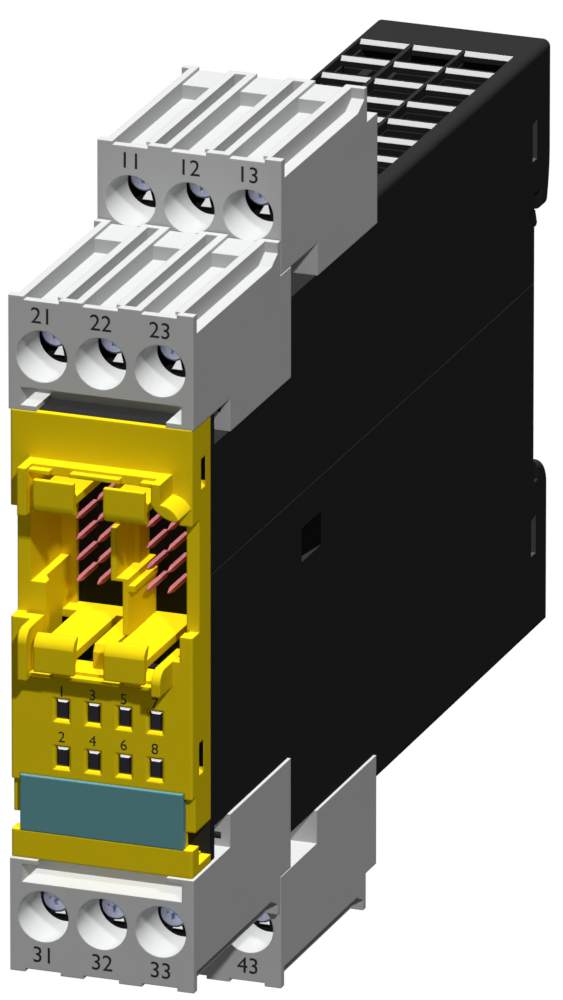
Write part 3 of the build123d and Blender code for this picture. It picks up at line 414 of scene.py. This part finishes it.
# The case has painted highlights on its vent chamfers, painted shade in its windows and painted light in its
# side slits; the yellow cap has painted shade in its slots; the grey blocks have painted shade in their
# rooms; the light guide has painted highlights on its tips
finishes = {
    "black_plastic": mouldedPlastic("caseBlack", (0.019, 0.019, 0.0195), rough=0.6, bump=0.05, rubHighlightTint=1.8,
                                    rubHighlight=0.45, specular=0.0,
                                    shadeAndLight=("ventChamferHighlights", "windowShadeLow", "windowShadeHigh", "sideSlitLight")),
    "yellow_plastic": mouldedPlastic("signalYellow", (0.6, 0.455, 0.005), rough=0.42, bump=0.03,
                                     blotch=0.05, rubHighlightTint=1.1, rubHighlight=0.4, radius=0.0003, specular=0.0,
                                     shadeAndLight=("upperSlotShade", "lowerSlotShade")),
    "grey_plastic": mouldedPlastic("terminalGrey", (0.406, 0.412, 0.408), rough=0.46, bump=0.04,
                                   blotch=0.05, rubHighlightTint=1.18, rubHighlight=0.5, specular=0.0,
                                   shadeAndLight=("frontRoomShade", "rearRoomShade")),
    "teal_plastic": mouldedPlastic("labelTeal", (0.089, 0.225, 0.245), rough=0.38, bump=0.02,
                                   blotch=0.04, rubHighlight=0.3),
    "clear_plastic": mouldedPlastic("lightGuide", (0.014, 0.012, 0.022), rough=0.2, bump=0.0,
                                    rubHighlight=0.2, specular=0.1, shadeAndLight=("guideTipHighlights",)),
    "lamp_body": mouldedPlastic("lampBody", (0.6, 0.6, 0.55), rough=0.3, bump=0.0),
    "board": circuitBoard("boardGreen", (0.004, 0.022, 0.013), (0.42, 0.36, 0.24), (0, math.radians(90), 0)),
    "component_black": mouldedPlastic("componentBlack", (0.02, 0.02, 0.022), rough=0.55, grain=4000.0),
    "header_black": mouldedPlastic("headerBlack", (0.008, 0.008, 0.009), rough=0.5),
    "pin_copper": platedMetal("pinCopper", (0.42, 0.11, 0.14), rough=0.4, metallic=0.2),
    "contact_brass": platedMetal("contactBrass", (0.62, 0.5, 0.3), rough=0.3),
    "zinc_steel": platedMetal("zincSteel", (0.42, 0.44, 0.58), rough=0.3),
    "spring_steel": platedMetal("springSteel", (0.5, 0.5, 0.52), rough=0.28),
    "latch_grey": mouldedPlastic("latchGrey", (0.42, 0.43, 0.42), rough=0.45),
}
# black as painted shade low in the bores, with a painted patch of light on the upward tops
rampShadeAndLight = mouldedPlastic("rampPaintedShadeAndLight", (0.012, 0.012, 0.012), rough=0.6, rubHighlight=0.2, specular=0.0,
                            shadeAndLight=("rampTopLight",))

for entry in frame["record"]["subparts"]:
    piece = nodes[entry["node"]]
    piece.data.materials.clear()
    piece.data.materials.append(finishes[entry["material_slot"]])
print("finishes on", len(nodes), "nodes")


# Pieces grown by geometry nodes

def newGrowth(name, inputs):
    tree = bpy.data.node_groups.new(name, "GeometryNodeTree")
    for label, kind, value in inputs:
        socket = tree.interface.new_socket(label, in_out="INPUT", socket_type=kind)
        if value is not None:
            socket.default_value = value
    tree.interface.new_socket("Material", in_out="INPUT", socket_type="NodeSocketMaterial")
    tree.interface.new_socket("Geometry", in_out="OUTPUT", socket_type="NodeSocketGeometry")
    return tree, addNode(tree, "NodeGroupInput"), addNode(tree, "NodeGroupOutput")


def closeGrowth(tree, entry, out, shape):
    real = addNode(tree, "GeometryNodeRealizeInstances", {"Geometry": shape})
    flat = addNode(tree, "GeometryNodeSetShadeSmooth", {"Geometry": real.outputs[0], "Shade Smooth": False})
    dressed = addNode(tree, "GeometryNodeSetMaterial", {
        "Geometry": flat.outputs[0], "Material": entry.outputs["Material"]})
    tree.links.new(dressed.outputs[0], out.inputs["Geometry"])


def joined(tree, shapes):
    node = addNode(tree, "GeometryNodeJoinGeometry")
    for shape in reversed(shapes):
        tree.links.new(shape, node.inputs[0])
    return node.outputs[0]


def moved(tree, shape, place=(0, 0, 0), turn=(0, 0, 0)):
    values = {"Geometry": shape, "Translation": place, "Rotation": turn}
    return addNode(tree, "GeometryNodeTransform", values).outputs[0]


def alongZ(tree, height):
    return addNode(tree, "ShaderNodeCombineXYZ", {"Z": height}).outputs[0]


def coneMesh(tree, sides, lowRadius, highRadius, depth):
    cone = addNode(tree, "GeometryNodeMeshCone", {
        "Vertices": sides, "Radius Bottom": lowRadius, "Radius Top": highRadius, "Depth": depth})
    return cone.outputs["Mesh"]


def boxMeasures(tree, low, high):
    # size and middle of a box from its corners, each as x, y and z
    span = addNode(tree, "ShaderNodeVectorMath", {0: high, 1: low}, operation="SUBTRACT")
    both = addNode(tree, "ShaderNodeVectorMath", {0: high, 1: low}, operation="ADD")
    size = addNode(tree, "ShaderNodeSeparateXYZ", {0: span.outputs[0]})
    double = addNode(tree, "ShaderNodeSeparateXYZ", {0: both.outputs[0]})
    return list(size.outputs), [calc(tree, value, 0.5, "MULTIPLY") for value in double.outputs]


def growPiece(name, tree, values, slot, body, replaced=()):
    seed = bpy.data.meshes.new(name + "Seed")
    piece = bpy.data.objects.new(name, seed)
    scene.collection.objects.link(piece)
    modifier = piece.modifiers.new("growth", "NODES")
    modifier.node_group = tree
    sockets = {item.name: item.identifier for item in tree.interface.items_tree
               if item.item_type == "SOCKET" and item.in_out == "INPUT"}
    for label, value in {**values, "Material": finishes[slot]}.items():
        modifier[sockets[label]] = value
    bpy.context.view_layer.update()
    mesh = bpy.data.meshes.new_from_object(piece.evaluated_get(bpy.context.evaluated_depsgraph_get()))
    piece.modifiers.clear()
    piece.data = mesh
    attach(piece, body)
    for node in replaced:
        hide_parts(node)
    return piece


facingFront = (math.pi / 2, 0, 0)    # turns +Z to the front, -Y

screwSides = {"head": 28, "shank": 20}
threadShare = 0.45      # half the width of a ridge, as a share of the pitch
plainNeck = 0.0018      # m of shank without thread
screwSizes = {    # mm
    "Head Radius": 1.8,
    "Head Height": 3.2,
    "Rim": 0.3,
    "Recess Width": 0.42,
    "Recess Length": 1.7,
    "Recess Depth": 0.9,
    "Core Radius": 1.0,
    "Thread Height": 0.18,
    "Thread Pitch": 0.5,
    "Shank Length": 11.1,
}


def makeScrewGrowth():
    # cross-recessed cheese head with a chamfered rim, over a shank with instanced thread ridges
    tree, entry, out = newGrowth("captiveScrew", [
        ("Place", "NodeSocketVector", (0, 0, 0)),
        *[(label, "NodeSocketFloat", value * mm) for label, value in screwSizes.items()]])
    take = entry.outputs
    radius, height, rim = take["Head Radius"], take["Head Height"], take["Rim"]
    drum = calc(tree, height, rim, "SUBTRACT")
    sides = screwSides["head"]
    drumMesh = coneMesh(tree, sides, radius, radius, drum)
    rimMesh = coneMesh(tree, sides, radius, calc(tree, radius, rim, "SUBTRACT"), rim)
    head = addNode(tree, "GeometryNodeMeshBoolean", operation="UNION", solver="EXACT")
    tree.links.new(drumMesh, head.inputs["Mesh 2"])
    tree.links.new(moved(tree, rimMesh, alongZ(tree, drum)), head.inputs["Mesh 2"])
    cut = addNode(tree, "GeometryNodeMeshBoolean", {"Mesh 1": head.outputs["Mesh"]},
                  operation="DIFFERENCE", solver="EXACT")
    deep = calc(tree, take["Recess Depth"], 2.0, "MULTIPLY")
    for along, across in (("Recess Length", "Recess Width"), ("Recess Width", "Recess Length")):
        size = addNode(tree, "ShaderNodeCombineXYZ", {"X": take[along], "Y": take[across], "Z": deep})
        bar = addNode(tree, "GeometryNodeMeshCube", {"Size": size.outputs[0]})
        tree.links.new(moved(tree, bar.outputs["Mesh"], alongZ(tree, height)), cut.inputs["Mesh 2"])
    length, thin, pitch = take["Shank Length"], take["Core Radius"], take["Thread Pitch"]
    sides = screwSides["shank"]
    bottom = alongZ(tree, calc(tree, length, -1.0, "MULTIPLY"))
    shank = moved(tree, coneMesh(tree, sides, thin, thin, length), bottom)
    half = calc(tree, pitch, threadShare, "MULTIPLY")
    flank = coneMesh(tree, sides, thin, calc(tree, thin, take["Thread Height"]), half)
    other = moved(tree, flank, alongZ(tree, calc(tree, half, 2.0, "MULTIPLY")), (math.pi, 0, 0))
    threaded = calc(tree, length, plainNeck, "SUBTRACT")
    count = calc(tree, calc(tree, threaded, pitch, "DIVIDE"), 0.0, "FLOOR")
    line = addNode(tree, "GeometryNodeMeshLine", {
        "Count": count, "Start Location": bottom, "Offset": alongZ(tree, pitch)})
    thread = addNode(tree, "GeometryNodeInstanceOnPoints", {
        "Points": line.outputs[0], "Instance": joined(tree, [flank, other])})
    whole = joined(tree, [cut.outputs["Mesh"], shank, thread.outputs[0]])
    closeGrowth(tree, entry, out, moved(tree, whole, take["Place"], facingFront))
    return tree


polePitch = 7.2
tiers = {    # mm: front plane's depth, half height over the outer faces
    "front": (0.0, 41.04),
    "rear": (28.74, 50.55),
}
screwPlace = {    # mm: from the pole's axis, depth of the head's underside, drop from the outer face
    "aside": -1.2,
    "depth": 10.5,
    "drop": 6.6,
}
screwTree = makeScrewGrowth()
for side, sign in (("upper", 1), ("lower", -1)):
    for tier, (near, outer) in tiers.items():
        for pole in (1, 2, 3):
            screwName = f"{side}_{tier}_screw_{pole}"
            place = Vector(((pole - 2) * polePitch + screwPlace["aside"],
                            frontY + near + screwPlace["depth"], sign * (outer - screwPlace["drop"])))
            growPiece("captiveScrew_" + screwName, screwTree, {"Place": tuple(place * mm)},
                      "zinc_steel", screwName, (screwName,))
print("screws grown")


def tierBody(side, tier):
    return f"{side}_front_plug" if tier == "front" else "root"


def shellPiece(name, shell, material, body):
    # a piece from a filled bmesh, which is freed
    mesh = bpy.data.meshes.new(name)
    shell.to_mesh(mesh)
    shell.free()
    mesh.materials.append(material)
    piece = bpy.data.objects.new(name, mesh)
    scene.collection.objects.link(piece)
    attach(piece, body)


rampShape = {    # mm from the bore's axis: x, depth, height
    "edge": ((-1.75, 8.5, -2.7), (-0.45, 8.5, -2.7)),
    "tip": (-1.7, 10.85, -1.95),
    "floor": -3.08,
}
boreDrop = 7.0


def makeRamps():
    # a wire ramp low in each bore, black as painted shade, with a painted patch of light on its top, one mesh
    # for each block
    for side, sign in (("upper", 1), ("lower", -1)):
        for tier, (near, outer) in tiers.items():
            shell = bmesh.new()
            for pole in (-1, 0, 1):
                centre = Vector((pole * polePitch, frontY + near, sign * (outer - boreDrop)))
                rim = [centre + Vector(point) for point in (*rampShape["edge"], rampShape["tip"])]
                high = [shell.verts.new(point * mm) for point in rim]
                floor = centre.z + rampShape["floor"]
                low = [shell.verts.new(Vector((point.x, point.y, floor)) * mm) for point in rim]
                shell.faces.new(high)
                shell.faces.new(low[::-1])
                for a in range(3):
                    b = (a + 1) % 3
                    shell.faces.new((low[a], low[b], high[b], high[a]))
            shellPiece(f"wireRamps_{side}_{tier}", shell, rampShadeAndLight, tierBody(side, tier))


makeRamps()
print("wire ramps set")

# Lugs in mm: low and high corner as x, depth and height, corner cut, peg's depth, height, radius and reach
lugShapes = {
    "front": {"low": (7.6, 11.7, 24.8), "high": (9.03, 13.3, 28.4), "cut": 0.35,
              "peg": (12.35, 26.0, 0.55, 10.1)},
    "rear": {"low": (8.75, 41.3, 34.9), "high": (9.95, 42.3, 37.35), "cut": 0.3, "peg": None},
}
pegSides = 16


def raisePrism(shell, rim, shift):
    # closed prism from a flat rim of points and the shift to its other end
    near = [shell.verts.new(point * mm) for point in rim]
    far = [shell.verts.new((point + shift) * mm) for point in rim]
    shell.faces.new(near)
    shell.faces.new(far[::-1])
    for a in range(len(rim)):
        b = (a + 1) % len(rim)
        shell.faces.new((near[b], near[a], far[a], far[b]))


def makeLugs():
    # black locking lugs in the steps of the terminal blocks, the front ones with a peg
    for side, sign in (("upper", 1), ("lower", -1)):
        for tier, shape in lugShapes.items():
            (lowX, lowD, lowZ), (highX, highD, highZ) = shape["low"], shape["high"]
            cut = shape["cut"]
            shell = bmesh.new()
            for hand in (1, -1):
                outline = [(lowX, lowZ), (highX, lowZ), (highX, highZ - cut),
                           (highX - cut, highZ), (lowX, highZ)]
                rim = [Vector((hand * x, frontY + lowD, sign * z)) for x, z in outline]
                raisePrism(shell, rim, Vector((0, highD - lowD, 0)))
                if shape["peg"]:
                    depth, height, radius, reach = shape["peg"]
                    turns = [2 * math.pi * step / pegSides for step in range(pegSides)]
                    ring = [Vector((hand * highX, frontY + depth + radius * math.cos(turn),
                                    sign * height + radius * math.sin(turn))) for turn in turns]
                    raisePrism(shell, ring, Vector((hand * (reach - highX), 0, 0)))
            bmesh.ops.recalc_face_normals(shell, faces=shell.faces)
            shellPiece(f"lockingLugs_{side}_{tier}", shell, finishes["black_plastic"],
                       tierBody(side, tier))


makeLugs()
print("locking lugs set")

ventBaffles = {    # mm: the ribs that hang under the vent grille's bars
    "top": 35.0,
    "drop": 2.5,
    "taper": 0.15,
    "halfLength": 9.6,
    "rowWidth": 1.3,
    "columnWidth": 0.46,
    "firstRow": 112.7 - 5.15 - 0.71,    # depth of the rearmost bar between two rows
    "rowPitch": 6.57,
    "rows": 6,
    "columns": (-3.675, 2.835),
    "columnEnds": (70.0, 112.5),
}


def makeBaffles():
    # tapered ribs under the bars, so that the openings show walls with some depth
    sizes = ventBaffles
    top, bottom, taper = sizes["top"], sizes["top"] - sizes["drop"], sizes["taper"]
    shell = bmesh.new()
    for row in range(sizes["rows"]):
        middle = frontY + sizes["firstRow"] - row * sizes["rowPitch"]
        half = sizes["rowWidth"] / 2
        profile = [(-half, top), (half, top), (half - taper, bottom), (taper - half, bottom)]
        rim = [Vector((-sizes["halfLength"], middle + y, z)) for y, z in profile]
        raisePrism(shell, rim, Vector((2 * sizes["halfLength"], 0, 0)))
    near, far = sizes["columnEnds"]
    for middle in sizes["columns"]:
        half = sizes["columnWidth"] / 2
        rim = [Vector((middle + x, frontY + near, z)) for x, z in
               [(-half, top), (half, top), (half - taper / 2, bottom), (taper / 2 - half, bottom)]]
        raisePrism(shell, rim, Vector((0, far - near, 0)))
    bmesh.ops.recalc_face_normals(shell, faces=shell.faces)
    shellPiece("ventBaffles", shell, finishes["black_plastic"], "root")


makeBaffles()
print("vent baffles set")

busPins = {    # mm
    "Width": 0.54,
    "Taper": 1.3,
    "Point": 0.12,
    "Row Pitch": 2.54,
}
pinRows = 5


def makePinGrowth():
    # two columns of square pins with long tapered points
    tree, entry, out = newGrowth("busPins", [
        ("Low", "NodeSocketVector", (0, 0, 0)),
        ("High", "NodeSocketVector", (0, 0, 0)),
        *[(label, "NodeSocketFloat", value * mm) for label, value in busPins.items()]])
    take = entry.outputs
    (_, length, _), (centreX, _, centreZ) = boxMeasures(tree, take["Low"], take["High"])
    stem = calc(tree, length, take["Taper"], "SUBTRACT")
    size = addNode(tree, "ShaderNodeCombineXYZ", {"X": take["Width"], "Y": take["Width"], "Z": stem})
    bar = addNode(tree, "GeometryNodeMeshCube", {"Size": size.outputs[0]})
    corner = calc(tree, take["Width"], math.sqrt(0.5), "MULTIPLY")
    point = coneMesh(tree, 4, corner, take["Point"], take["Taper"])
    pin = joined(tree, [moved(tree, bar.outputs["Mesh"], alongZ(tree, calc(tree, stem, 0.5, "MULTIPLY"))),
                        moved(tree, point, alongZ(tree, stem), (0, 0, math.pi / 4))])
    upright = moved(tree, pin, (0, 0, 0), facingFront)
    drop = alongZ(tree, calc(tree, take["Row Pitch"], -1.0, "MULTIPLY"))
    half = calc(tree, take["Row Pitch"], 0.5, "MULTIPLY")
    ends = addNode(tree, "ShaderNodeSeparateXYZ", {0: take["High"]})
    top = calc(tree, centreZ, calc(tree, take["Row Pitch"], (pinRows - 1) / 2, "MULTIPLY"))
    columns = []
    for way in ("ADD", "SUBTRACT"):
        start = addNode(tree, "ShaderNodeCombineXYZ", {
            "X": calc(tree, centreX, half, way), "Y": ends.outputs["Y"], "Z": top})
        line = addNode(tree, "GeometryNodeMeshLine", {
            "Count": pinRows, "Start Location": start.outputs[0], "Offset": drop})
        pins = addNode(tree, "GeometryNodeInstanceOnPoints", {"Points": line.outputs[0], "Instance": upright})
        columns.append(pins.outputs[0])
    closeGrowth(tree, entry, out, joined(tree, columns))
    return tree


pinTree = makePinGrowth()
for side in ("left", "right"):
    low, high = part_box("bus_pins_" + side)
    growPiece("busPins_" + side, pinTree, {"Low": tuple(low), "High": tuple(high)}, "pin_copper", "root",
              ("bus_pins_" + side,))
print("bus pins grown")

springShape = {    # mm, and turns
    "Wire": 0.5,
    "Turns": 6.0,
}
springSteps = {"turn": 24, "wire": 12}


def makeSpringGrowth():
    # round-wire coil between two corners of its box, along Z
    tree, entry, out = newGrowth("coilSpring", [
        ("Low", "NodeSocketVector", (0, 0, 0)),
        ("High", "NodeSocketVector", (0, 0, 0)),
        ("Wire", "NodeSocketFloat", springShape["Wire"] * mm),
        ("Turns", "NodeSocketFloat", springShape["Turns"])])
    take = entry.outputs
    (width, _, length), (centreX, centreY, _) = boxMeasures(tree, take["Low"], take["High"])
    seat = addNode(tree, "ShaderNodeSeparateXYZ", {0: take["Low"]})
    thin = calc(tree, take["Wire"], 0.5, "MULTIPLY")
    radius = calc(tree, calc(tree, width, 0.5, "MULTIPLY"), thin, "SUBTRACT")
    height = calc(tree, length, take["Wire"], "SUBTRACT")
    spiral = addNode(tree, "GeometryNodeCurveSpiral", {
        "Resolution": springSteps["turn"], "Rotations": take["Turns"],
        "Start Radius": radius, "End Radius": radius, "Height": height})
    section = addNode(tree, "GeometryNodeCurvePrimitiveCircle", {
        "Resolution": springSteps["wire"], "Radius": thin})
    coil = addNode(tree, "GeometryNodeCurveToMesh", {
        "Curve": spiral.outputs[0], "Profile Curve": section.outputs[0], "Fill Caps": True})
    place = addNode(tree, "ShaderNodeCombineXYZ", {
        "X": centreX, "Y": centreY, "Z": calc(tree, seat.outputs["Z"], thin)})
    closeGrowth(tree, entry, out, moved(tree, coil.outputs[0], place.outputs[0]))
    return tree


low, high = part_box("latch_spring")
spring = growPiece("latchSpring", makeSpringGrowth(), {"Low": tuple(low), "High": tuple(high)},
                   "spring_steel", "root", ("latch_spring",))
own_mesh(spring)
print("latch spring wound")

numberMarks = {
    "blockSize": 2.75,     # mm here and below, letter body
    "lampSize": 1.85,
    "thickness": 0.03,
    "blockDrop": 2.2,      # from the outer face to the middle of the numbers
    "lampRows": ((-8.56 + 2.28, (1, 3, 5, 7)), (-14.35 + 2.5, (2, 4, 6, 8))),    # lamp's middle and rise
    "lampStart": -4.88,
    "lampPitch": 3.8,
}


def growNumbers(name, marks, size, slot, body):
    # plain numbers, each a filled curve with a little thickness
    tree, entry, out = newGrowth(name, [
        ("Size", "NodeSocketFloat", size * mm),
        ("Thickness", "NodeSocketFloat", numberMarks["thickness"] * mm)])
    signs = []
    for text, place in marks:
        letters = addNode(tree, "GeometryNodeStringToCurves", {
            "String": text, "Size": entry.outputs["Size"]}, align_x="CENTER", align_y="MIDDLE")
        real = addNode(tree, "GeometryNodeRealizeInstances", {"Geometry": letters.outputs[0]})
        faces = addNode(tree, "GeometryNodeFillCurve", {"Curve": real.outputs[0]})
        thick = addNode(tree, "GeometryNodeExtrudeMesh", {
            "Mesh": faces.outputs[0], "Offset Scale": entry.outputs["Thickness"]})
        signs.append(moved(tree, thick.outputs["Mesh"], [value * mm for value in place], facingFront))
    closeGrowth(tree, entry, out, joined(tree, signs))
    growPiece(name, tree, {}, slot, body)


blockNumbers = {"upper_rear": 10, "upper_front": 20, "lower_front": 30, "lower_rear": 40}
for block, first in blockNumbers.items():
    side, tier = block.split("_")
    near, outer = tiers[tier]
    height = (outer - numberMarks["blockDrop"]) * (1 if side == "upper" else -1)
    marks = [(str(first + pole + 2), (pole * polePitch, frontY + near, height)) for pole in (-1, 0, 1)]
    growNumbers("poleNumbers_" + block, marks, numberMarks["blockSize"], "component_black",
                tierBody(side, tier))
lampMarks = []
for height, numbers in numberMarks["lampRows"]:
    for place, number in enumerate(numbers):
        x = numberMarks["lampStart"] + place * numberMarks["lampPitch"]
        lampMarks.append((str(number), (x, frontY, height)))
growNumbers("lampNumbers", lampMarks, numberMarks["lampSize"], "component_black", "root")
print("numbers grown")


# Stage, lamps and world

stageSettings = {
    "floorDrop": 0.30,        # m below the object
    "floorSize": 6.0,
    "floorBack": 3,           # reach to the back, in halves of the size
    "floorGrey": 0.06,
    "worldStrength": 0.07,
    "lamps": {    # where from, strength, softness in degrees, casts a shadow
        "keyLamp": ((0.451, -0.645, 0.616), 1.95, 3.0, True),
        "overheadLamp": ((0.0, -0.02, 1.0), 5.0, 3.0, False),
        "rearLamp": ((-0.62, 0.74, 0.25), 1.3, 20.0, False),
        "fillLamp": ((-0.35, -0.93, 0.1), 0.18, 60.0, False),
    },
}


def plainWhiteRays(tree):
    # camera, mirror and glass rays, which see a plain white background
    path = addNode(tree, "ShaderNodeLightPath")
    seen = calc(tree, path.outputs["Is Camera Ray"], path.outputs["Is Glossy Ray"])
    seen = calc(tree, seen, path.outputs["Is Transmission Ray"])
    seen.node.use_clamp = True
    return seen


def whiteForCamera(tree, surface):
    seen = plainWhiteRays(tree)
    white = addNode(tree, "ShaderNodeEmission", {"Color": (1, 1, 1, 1), "Strength": 1.0})
    mixer = addNode(tree, "ShaderNodeMixShader", {0: seen})
    tree.links.new(surface, mixer.inputs[1])
    tree.links.new(white.outputs[0], mixer.inputs[2])
    return mixer.outputs[0]


def buildStage():
    low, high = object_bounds()
    z = low.z - stageSettings["floorDrop"]
    half = stageSettings["floorSize"] / 2
    mesh = bpy.data.meshes.new("paleFloor")
    back = half * stageSettings["floorBack"]
    corners = [(-half, -half, z), (half, -half, z), (half, back, z), (-half, back, z)]
    mesh.from_pydata(corners, [], [(0, 1, 2, 3)])
    floor = bpy.data.objects.new("paleFloor", mesh)
    scene.collection.objects.link(floor)
    material = bpy.data.materials.new("paleFloor")
    material.use_nodes = True
    tree = material.node_tree
    tree.nodes.clear()
    diffuse = addNode(tree, "ShaderNodeBsdfDiffuse", {"Color": (*[stageSettings["floorGrey"]] * 3, 1)})
    addNode(tree, "ShaderNodeOutputMaterial", {"Surface": whiteForCamera(tree, diffuse.outputs[0])})
    mesh.materials.append(material)

    world = bpy.data.worlds.new("studioWorld")
    scene.world = world
    world.use_nodes = True
    tree = world.node_tree
    tree.nodes.clear()
    soft = addNode(tree, "ShaderNodeBackground", {
        "Color": (1, 1, 1, 1), "Strength": stageSettings["worldStrength"]})
    seen = plainWhiteRays(tree)
    white = addNode(tree, "ShaderNodeBackground", {"Color": (1, 1, 1, 1), "Strength": 1.0})
    mixer = addNode(tree, "ShaderNodeMixShader", {0: seen})
    tree.links.new(soft.outputs[0], mixer.inputs[1])
    tree.links.new(white.outputs[0], mixer.inputs[2])
    addNode(tree, "ShaderNodeOutputWorld", {"Surface": mixer.outputs[0]})

    for name, (source, strength, spread, shadow) in stageSettings["lamps"].items():
        data = bpy.data.lights.new(name, "SUN")
        data.energy = strength
        data.use_shadow = shadow
        data.angle = math.radians(spread)
        lamp = bpy.data.objects.new(name, data)
        scene.collection.objects.link(lamp)
        lamp.rotation_mode = "QUATERNION"
        lamp.rotation_quaternion = Vector(source).to_track_quat("Z", "Y")
    scene.view_settings.view_transform = "Standard"


buildStage()
print("stage and lamps set")
